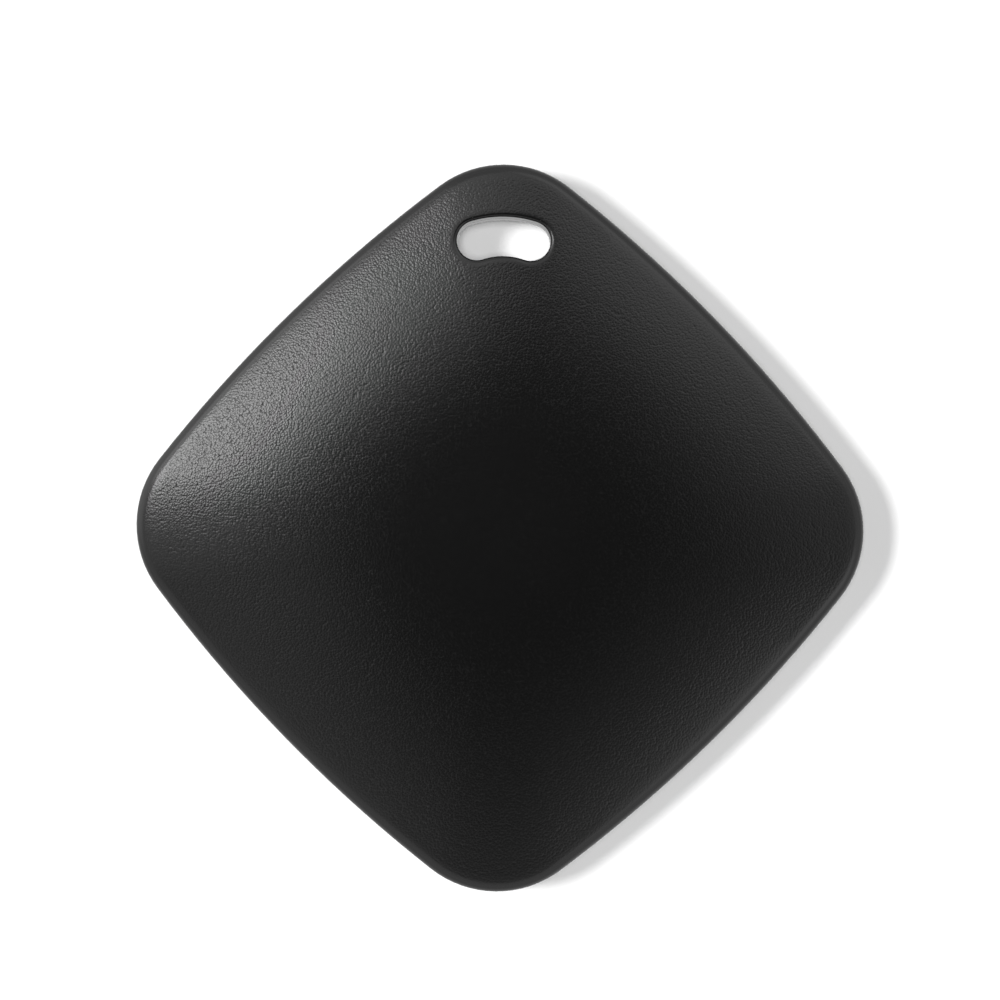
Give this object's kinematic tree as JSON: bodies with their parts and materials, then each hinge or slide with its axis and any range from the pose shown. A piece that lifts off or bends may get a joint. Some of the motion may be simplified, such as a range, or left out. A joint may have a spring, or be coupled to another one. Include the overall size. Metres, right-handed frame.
{
  "type": "bluetooth tracker tag",
  "caption": "Pillow-shaped rounded-square tracker tag with a kidney-shaped keyring hole in one corner, a press-down front cover and a coin cell inside.",
  "frame": {"origin": "middle of the flat land on the rear cover, which is the bottom centre of the bounding box", "axes": "+Z out of the front face, +Y from the middle to the keyring hole, +X to the right when looking at the front"},
  "size_m": [0.0472, 0.0472, 0.0096],
  "materials": {
    "case_plastic": "black moulded plastic with a fine leather-like grain",
    "frame_plastic": "plain black plastic",
    "seal_rubber": "soft dark grey rubber",
    "board_laminate": "green solder mask over glass fibre laminate",
    "screw_steel": "plain steel",
    "holder_plastic": "plain black plastic",
    "spring_steel": "bright spring steel",
    "cell_steel": "brushed nickel-plated steel",
    "gasket_nylon": "grey nylon",
    "foam": "dark closed-cell foam",
    "brass": "plain brass sheet",
    "piezo_ceramic": "silvered sounder ceramic",
    "tape": "pale double-sided tape",
    "chip_epoxy": "black moulded epoxy",
    "crystal_can": "plated metal lid",
    "antenna_ceramic": "white ceramic with tinned ends",
    "ferrite": "dark grey ferrite",
    "capacitor_ceramic": "tan ceramic with tinned ends",
    "resistor_body": "black film on white ceramic with tinned ends",
    "switch_plastic": "black nylon",
    "plunger_plastic": "off-white nylon"
  },
  "bodies": {
    "rear_case": {"rear_cover": "case_plastic", "main_pcb": "board_laminate", "pcb_screw_1": "screw_steel", "pcb_screw_2": "screw_steel", "pcb_screw_3": "screw_steel", "pcb_screw_4": "screw_steel", "battery_holder": "holder_plastic", "positive_contact": "spring_steel", "negative_contact": "spring_steel", "piezo_contact_1": "spring_steel", "piezo_contact_2": "spring_steel", "piezo_plate": "brass", "piezo_ceramic": "piezo_ceramic", "piezo_adhesive": "tape", "bluetooth_soc": "chip_epoxy", "motion_sensor": "chip_epoxy", "buzzer_driver": "chip_epoxy", "main_crystal": "crystal_can", "clock_crystal": "crystal_can", "chip_antenna": "antenna_ceramic", "boost_inductor": "ferrite", "storage_capacitor": "capacitor_ceramic", "capacitor_1": "capacitor_ceramic", "capacitor_2": "capacitor_ceramic", "capacitor_3": "capacitor_ceramic", "capacitor_4": "capacitor_ceramic", "resistor_1": "resistor_body", "resistor_2": "resistor_body", "resistor_3": "resistor_body", "switch_base": "switch_plastic", "switch_dome": "spring_steel", "switch_cover": "spring_steel"},
    "lid_frame": {"inner_frame": "frame_plastic", "case_seal": "seal_rubber"},
    "front_case": {"front_cover": "case_plastic", "battery_pad": "foam"},
    "cell": {"battery_can": "cell_steel", "battery_gasket": "gasket_nylon", "battery_cap": "cell_steel"},
    "plunger": {"switch_plunger": "plunger_plastic"}
  },
  "joints": [
    {"name": "case_opening", "type": "slide", "parent": "rear_case", "child": "lid_frame", "axis": [0, 0, 1], "range_m": [0, 0.024]},
    {"name": "cover_press", "type": "slide", "parent": "lid_frame", "child": "front_case", "axis": [0, 0, -1], "range_m": [0, 0.00025], "stiffness_N_per_m": 4000},
    {"name": "battery_lift", "type": "slide", "parent": "rear_case", "child": "cell", "axis": [0, 0, 1], "range_m": [0, 0.012]},
    {"name": "switch_press", "type": "slide", "parent": "rear_case", "child": "plunger", "axis": [0, 0, -1], "range_m": [0, 0.00025], "deforming": ["switch_dome"]}
  ],
  "couplings": [
    {"joint": "battery_lift", "follows": "case_opening", "ratio": 0.5},
    {"joint": "switch_press", "follows": "cover_press", "ratio": 1}
  ]
}
